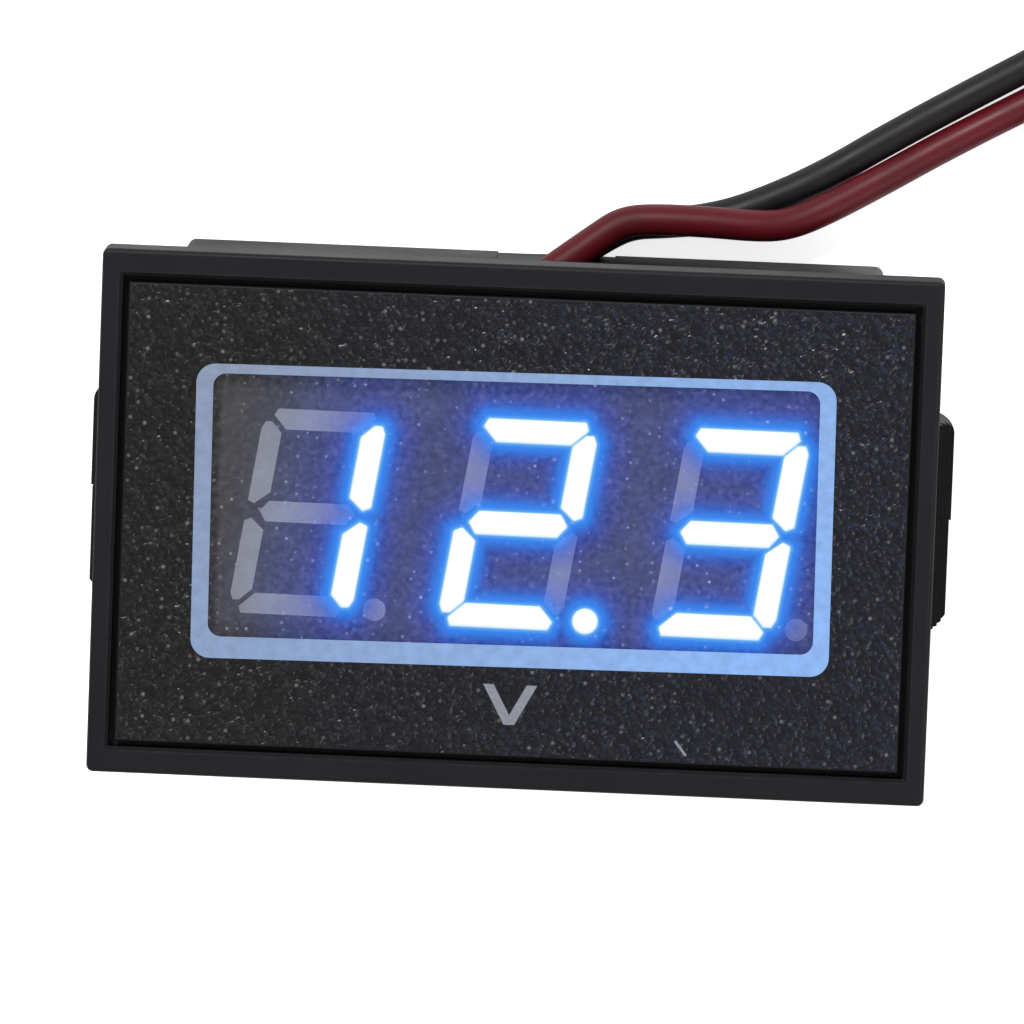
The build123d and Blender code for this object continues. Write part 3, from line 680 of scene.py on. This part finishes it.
def makeTip(colour, points):
    # bared strands: one straight and six that wind round it, each a circle carried along its helix
    start, before = Vector(points[-1]), Vector(points[-2])
    along = (start - before).normalized()
    side = along.cross(Vector((0, 0, 1))).normalized()
    axes = np.array([along, side, side.cross(along)])
    t = np.linspace(0, 1, leads["strandSteps"] + 1)
    around = np.linspace(0, 2 * math.pi, leads["strandSides"], endpoint=False)
    ring = leads["strandRadius"] * np.stack([0 * around, np.cos(around), np.sin(around)], 1)
    strands, faces = [], []
    for strand in range(leads["strands"] + 1):
        turn = 2 * math.pi * (strand / leads["strands"] + leads["strandTurns"] * t)
        away = 0.0 if strand == leads["strands"] else 2 * leads["strandRadius"]
        reach = leads["tipLength"] * (1 - leads["strandShorter"] * (strand % 3))
        centre = np.stack([t * reach, away * np.cos(turn), away * np.sin(turn)], 1)
        tube = np.array(start) + (centre[:, None, :] + ring[None, :, :]) @ axes
        base = strand * len(t) * len(around)
        faces += [[base + i for i in face] for face in gridFaces(tube) + endFaces(tube)]
        strands.append(tube)
    mesh = newMesh(colour + "_lead_strands", np.stack(strands), faces)
    return addPiece(mesh.name, mesh, "tinned_metal", (colour + "_lead_tip",))


def makeLead(colour):
    # a round cord along a smooth spline through its route, the coil and its tail
    lead = leads[colour]
    points = lead["route"] + coilPoints(leads, lead) + tailPoints(leads, lead)
    curve = bpy.data.curves.new(colour + "_lead_cord", "CURVE")
    curve.dimensions = "3D"
    spline = curve.splines.new("NURBS")
    spline.points.add(len(points) - 1)
    for place, point in zip(spline.points, points):
        place.co = (point[0] * mm, point[1] * mm, point[2] * mm, 1)
    spline.order_u = 3
    spline.use_endpoint_u = True
    spline.resolution_u = 8
    spline.use_smooth = True
    curve.bevel_depth = leads["radius"] * mm
    curve.bevel_resolution = 6
    curve.use_fill_caps = True
    obj = bpy.data.objects.new(colour + "_lead_cord", curve)
    bpy.context.scene.collection.objects.link(obj)
    curve.materials.append(finishes[colour + "_insulation"])
    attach(obj, "meter")
    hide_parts(*lead["solids"])
    tip = makeTip(colour, points)


makeLead("red")
makeLead("black")
print("stage: leads")

# Face film: the printed film round the window, with its pebbled surface in the mesh

film = {  # lengths in mm and angles in degrees
    "skew": 0.6,
    "window": (-0.05, 0.8),
    "windowSize": (34.6, 15.15),
    "windowRound": 0.75,
    "outerRound": 0.3,
    "cornerShare": 0.008,  # of a quarter of the outline, on each side of its corner
    "around": 1440,
    "across": 64,
    "plateRound": 0.1,
    "skin": 0.003,
    "skinRise": 0.25,  # of the way out, over which the skin rises to its full level
    "cell": (0.27, 0.38),
    "lean": 62.0,
    "jitter": (0.15, 0.7),  # place of a dome's middle in its cell: the least, and how much more it may be
    "reach": (0.5, 0.28),  # its radius in cells, given likewise
    "tall": (0.45, 0.55),  # its share of the height, given likewise
    "domePower": 0.75,
    "height": 0.043,
    "fade": 0.16,
    "sharpFrom": 60.0,
}


def roundedOutline(u, halfX, halfY, corner):
    # u goes once round: each quarter has half a side, a corner arc and half the next side
    quarter = np.floor(u * 4).astype(int) % 4
    s = u * 4 - np.floor(u * 4)
    near, far = np.where(quarter % 2 == 0, halfX, halfY), np.where(quarter % 2 == 0, halfY, halfX)
    share = near / (near + far)
    first, arc = share - film["cornerShare"], share + film["cornerShare"]
    along = np.where(s < first, s / first * (near - corner), near - corner)
    angle = np.clip((s - first) / (arc - first), 0, 1) * math.pi / 2
    rest = np.where(s > arc, (s - arc) / (1 - arc), 0)
    x = along + corner * np.sin(angle)
    y = far - corner * (1 - np.cos(angle)) - rest * (far - corner)
    # the quarters start at the top middle, the right middle, the bottom middle and the left middle
    signs = [(1, 0, 0, 1), (0, 1, -1, 0), (-1, 0, 0, -1), (0, -1, 1, 0)]
    a, b, c, d = (np.array([row[i] for row in signs])[quarter] for i in range(4))
    return np.stack([a * x + b * y, c * x + d * y], -1)


def turned(points, degrees):
    c, s = math.cos(math.radians(degrees)), math.sin(math.radians(degrees))
    return np.stack([points[..., 0] * c - points[..., 1] * s, points[..., 0] * s + points[..., 1] * c], -1)


def scatter(i, j, seed):
    # a fixed value from 0 to 1 for each cell: the far decimals of a sine
    wave = np.sin(i * 127.1 + j * 311.7 + seed * 74.7)
    return np.abs(wave * 43758.5453) % 1.0


def pebbles(place, spec):
    # the highest of the domes near each point: one jittered, stretched dome in each cell of a leaning grid
    p = turned(place, spec["lean"]) / np.array(spec["cell"])
    base = np.floor(p)
    top = np.zeros(place.shape[:-1])
    (margin, jitter), (reach, wider), (tall, taller) = (spec[key] for key in ("jitter", "reach", "tall"))
    for di in (-1, 0, 1):
        for dj in (-1, 0, 1):
            i, j = base[..., 0] + di, base[..., 1] + dj
            gapX = p[..., 0] - i - margin - jitter * scatter(i, j, 1)
            gapY = p[..., 1] - j - margin - jitter * scatter(i, j, 2)
            dome = 1 - (gapX**2 + gapY**2) / (reach + wider * scatter(i, j, 3)) ** 2
            height = tall + taller * scatter(i, j, 4)
            top = np.maximum(top, np.clip(dome, 0, 1) ** spec["domePower"] * height)
    return top


def makeFilm(spec):
    # from the window's outline to the plate's, which it covers with its rim
    low, high = (np.array(v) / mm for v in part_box("face_film"))
    plateLow, plateHigh = (np.array(v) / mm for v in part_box("front_plate"))
    middle = (plateLow + plateHigh) / 2
    half = (plateHigh - plateLow) / 2 - spec["plateRound"]
    u = np.arange(spec["around"]) / spec["around"]
    v = np.linspace(0, 1, spec["across"] + 1)[:, None, None]
    sizeX, sizeY = spec["windowSize"]
    inner = roundedOutline(u, sizeX / 2, sizeY / 2, spec["windowRound"]) + np.array(spec["window"])
    inner = turned(inner, spec["skew"])
    outer = roundedOutline(u, half[0], half[1], spec["outerRound"]) + middle[:2]
    flat = inner[None] * (1 - v) + outer[None] * v
    fade = np.clip(np.linalg.norm(flat - inner[None], axis=-1) / spec["fade"], 0, 1)
    pebble = pebbles(flat, spec) * fade * fade * (3 - 2 * fade)
    level = high[2] + spec["skin"] * np.clip(v[..., 0] / spec["skinRise"], 0, 1)
    top = np.concatenate([flat, (level + spec["height"] * pebble)[..., None]], -1)
    under = [np.concatenate([side, np.full((len(u), 1), z)], -1)[None]
             for side, z in ((inner, low[2]), (outer, high[2]))]
    points = np.concatenate([under[0], top, under[1]], 0)
    mesh = newMesh("pebbled_film", points, gridFaces(points, closeRows=True))
    flush = np.zeros(len(u))
    values = np.concatenate([flush, pebble.ravel(), flush])
    mesh.attributes.new("pebble", "FLOAT", "POINT").data.foreach_set("value", values)
    addPiece("pebbled_film", mesh, "film", ("face_film",))
    mesh.set_sharp_from_angle(angle=math.radians(spec["sharpFrom"]))


makeFilm(film)
print("stage: face film")

# Smoked window: the clear part of the film, which carries the distance to the lit segments

window = {
    "columns": 300,
    "rows": 132,
    "lean": (-0.03, -0.07),  # mm by which the glow is shifted, because the segments lie deeper than the film
    "lit": ("left_digit_lit", "middle_digit_lit", "right_digit_lit", "lit_decimal_point"),
    "faceDepth": 0.01,
}


def litOutline(spec):
    # triangles and border edges of the lit segments' front faces, from their solids
    triangles = []
    for name in spec["lit"]:
        mesh = nodes[name].data
        mesh.calc_loop_triangles()
        places = np.empty((len(mesh.vertices), 3))
        mesh.vertices.foreach_get("co", places.ravel())
        places /= mm
        corners = np.empty((len(mesh.loop_triangles), 3), int)
        mesh.loop_triangles.foreach_get("vertices", corners.ravel())
        faces = places[corners]
        front = np.abs(faces[..., 2] - places[:, 2].max()) < spec["faceDepth"]
        triangles.append(faces[np.all(front, axis=1)][..., :2])
    triangles = np.concatenate(triangles)
    edges = {}
    for face in np.round(triangles, 4).tolist():
        for a, b in ((0, 1), (1, 2), (2, 0)):
            key = tuple(sorted((tuple(face[a]), tuple(face[b]))))
            edges[key] = edges.get(key, 0) + 1
    return triangles, np.array([key for key, count in edges.items() if count == 1])


def sideOf(place, start, end):
    # above zero on one side of the line through two points, and below it on the other
    run, away = end - start, place - start
    return run[0] * away[:, 1] - run[1] * away[:, 0]


def litDistance(place, spec):
    # distance to the nearest border edge, below zero inside a lit face
    triangles, edges = litOutline(spec)
    best = np.full(len(place), np.inf)
    for start, end in edges:
        run = end - start
        t = np.clip(((place - start) @ run) / max(run @ run, tiny), 0, 1)
        best = np.minimum(best, np.linalg.norm(place - start - t[:, None] * run, axis=1))
    inside = np.zeros(len(place), bool)
    for a, b, c in triangles:
        sides = np.stack([sideOf(place, a, b), sideOf(place, b, c), sideOf(place, c, a)])
        inside |= np.all(sides >= 0, axis=0) | np.all(sides <= 0, axis=0)
    return np.where(inside, -best, best)


def makeWindow(spec):
    # a grid over the square, its corner squares drawn in to quarter discs, on two levels joined round the rim
    low, high = (np.array(v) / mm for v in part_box("film_window"))
    halfX, halfY = (s / 2 for s in film["windowSize"])
    corner = film["windowRound"]
    across = np.linspace(-halfX, halfX, spec["columns"] + 1)
    x, y = np.meshgrid(across, np.linspace(-halfY, halfY, spec["rows"] + 1))
    p = np.clip(np.abs(x) - halfX + corner, 0, corner) / corner
    q = np.clip(np.abs(y) - halfY + corner, 0, corner) / corner
    most = np.maximum(p, q)
    angle = math.pi / 4 * np.minimum(p, q) / np.maximum(most, tiny)
    longer, shorter = most * np.cos(angle), most * np.sin(angle)
    both = (p > 0) & (q > 0)
    newP, newQ = np.where(p >= q, longer, shorter), np.where(p >= q, shorter, longer)
    x = np.where(both, np.sign(x) * (halfX - corner + newP * corner), x)
    y = np.where(both, np.sign(y) * (halfY - corner + newQ * corner), y)
    flat = turned(np.stack([x, y], -1) + np.array(film["window"]), film["skew"])
    top = np.concatenate([flat, np.full((*flat.shape[:2], 1), high[2])], -1)
    under = np.concatenate([flat, np.full((*flat.shape[:2], 1), low[2])], -1)[:, ::-1]
    # top, then back underneath: columns close round, and the two open rows get their end faces
    points = np.concatenate([top, under], 1)
    rows, columns = points.shape[:2]
    faces = gridFaces(points)
    for row in (0, rows - 1):
        for column in range(columns // 2 - 1):
            first, last = row * columns, row * columns + columns - 1
            face = [first + column, first + column + 1, last - column - 1, last - column]
            faces.append(face[::-1] if row == 0 else face)
    mesh = newMesh("smoked_film", points, faces)
    distance = litDistance(points.reshape(-1, 3)[:, :2] + np.array(spec["lean"]), spec)
    mesh.attributes.new("litDistance", "FLOAT", "POINT").data.foreach_set("value", distance)
    addPiece("smoked_film", mesh, "smoked_window", ("film_window",), smooth=False)


makeWindow(window)
print("stage: smoked window")

# Lead seal: the moulded piece that closes the wall's notch round the two leads

seal = {  # lengths in mm
    "left": -2.19,
    "right": 4.69,
    "bottom": 0.03,
    "top": 4.19,
    "inside": 12.3,
    "outside": 13.34,
    "leadsAt": 2.15,
    "collar": 0.09,
    "collarWidth": 1.5,
    "sink": 0.12,
    "columns": 48,
    "rows": 14,
}


def makeSeal(s):
    # outer face: sinks between the notch's sides by a sine each way and rises in a bell round the leads
    x = np.linspace(s["left"], s["right"], s["columns"] + 1)[:, None]
    z = np.linspace(s["bottom"], s["top"], s["rows"] + 1)[None, :]
    across = np.sin(math.pi * (x - s["left"]) / (s["right"] - s["left"]))
    upward = np.sin(math.pi * (z - s["bottom"]) / (s["top"] - s["bottom"]))
    bell = np.exp(-(((x - s["leadsAt"]) / s["collarWidth"]) ** 2))
    outer = s["outside"] + s["collar"] * bell - s["sink"] * across * upward * (1 - bell)
    inner = s["inside"] + s["sink"] * across * upward
    front, back = (np.stack(np.broadcast_arrays(x, y, z), -1) for y in (outer, inner))
    points = np.concatenate([front, back[:, ::-1]], 1)
    mesh = newMesh("lead_seal", points, gridFaces(points) + endFaces(points))
    addPiece("lead_seal", mesh, "case_plastic", smooth=False)


makeSeal(seal)
print("stage: lead seal")

# Studio: a pale floor that shows white to the camera and keeps the shadow, and soft lamps

studio = {  # lengths in m and power in W
    "floorSize": 3.0,
    "floorColour": (0.9, 0.9, 0.9),
    "floorLift": 0.78,
    "mirroredShare": 0.3,  # of that lift, which reflections on the object see
    "worldColour": (1.0, 1.0, 1.0),
    "worldStrength": 0.4,
    "lamps": {
        "key": {"place": (-0.25, 0.55, 0.75), "aim": (0, 0, 0.02), "size": 0.2, "power": 5.0},
        "fill": {"place": (0.5, -0.25, 0.7), "aim": (0, 0, 0.02), "size": 0.5, "power": 1.8},
    },
}


def makeStudio(s):
    mesh = bpy.data.meshes.new("floor")
    half = s["floorSize"] / 2
    corners = [(-half, -half, 0), (half, -half, 0), (half, half, 0), (-half, half, 0)]
    mesh.from_pydata(corners, [], [(0, 1, 2, 3)])
    floor = bpy.data.objects.new("floor", mesh)
    bpy.context.scene.collection.objects.link(floor)
    mat, tree, shader = newMaterial("studio floor", s["floorColour"], 0.8)
    rays = addNode(tree, "LightPath").outputs
    shader.inputs["Emission Color"].default_value = (1, 1, 1, 1)
    shader.inputs["Specular IOR Level"].default_value = 0.0
    mirrored = maths(tree, "MAXIMUM", rays["Is Glossy Ray"], rays["Is Transmission Ray"])
    seen = maths(tree, "MULTIPLY_ADD", mirrored, s["mirroredShare"], rays["Is Camera Ray"])
    tree.links.new(maths(tree, "MULTIPLY", seen, s["floorLift"]), shader.inputs["Emission Strength"])
    mesh.materials.append(mat)
    world = bpy.data.worlds.new("studio")
    bpy.context.scene.world = world
    world.use_nodes = True
    back = world.node_tree.nodes["Background"]
    back.inputs["Color"].default_value = (*s["worldColour"], 1)
    back.inputs["Strength"].default_value = s["worldStrength"]
    for name, lamp in s["lamps"].items():
        data = bpy.data.lights.new(name, "AREA")
        data.size = lamp["size"]
        data.energy = lamp["power"]
        obj = bpy.data.objects.new(name, data)
        obj.location = lamp["place"]
        beam = Vector(lamp["aim"]) - Vector(lamp["place"])
        obj.rotation_euler = beam.to_track_quat("-Z", "Y").to_euler()
        bpy.context.scene.collection.objects.link(obj)
    bpy.context.scene.view_settings.view_transform = "Standard"


makeStudio(studio)
print("stage: studio")
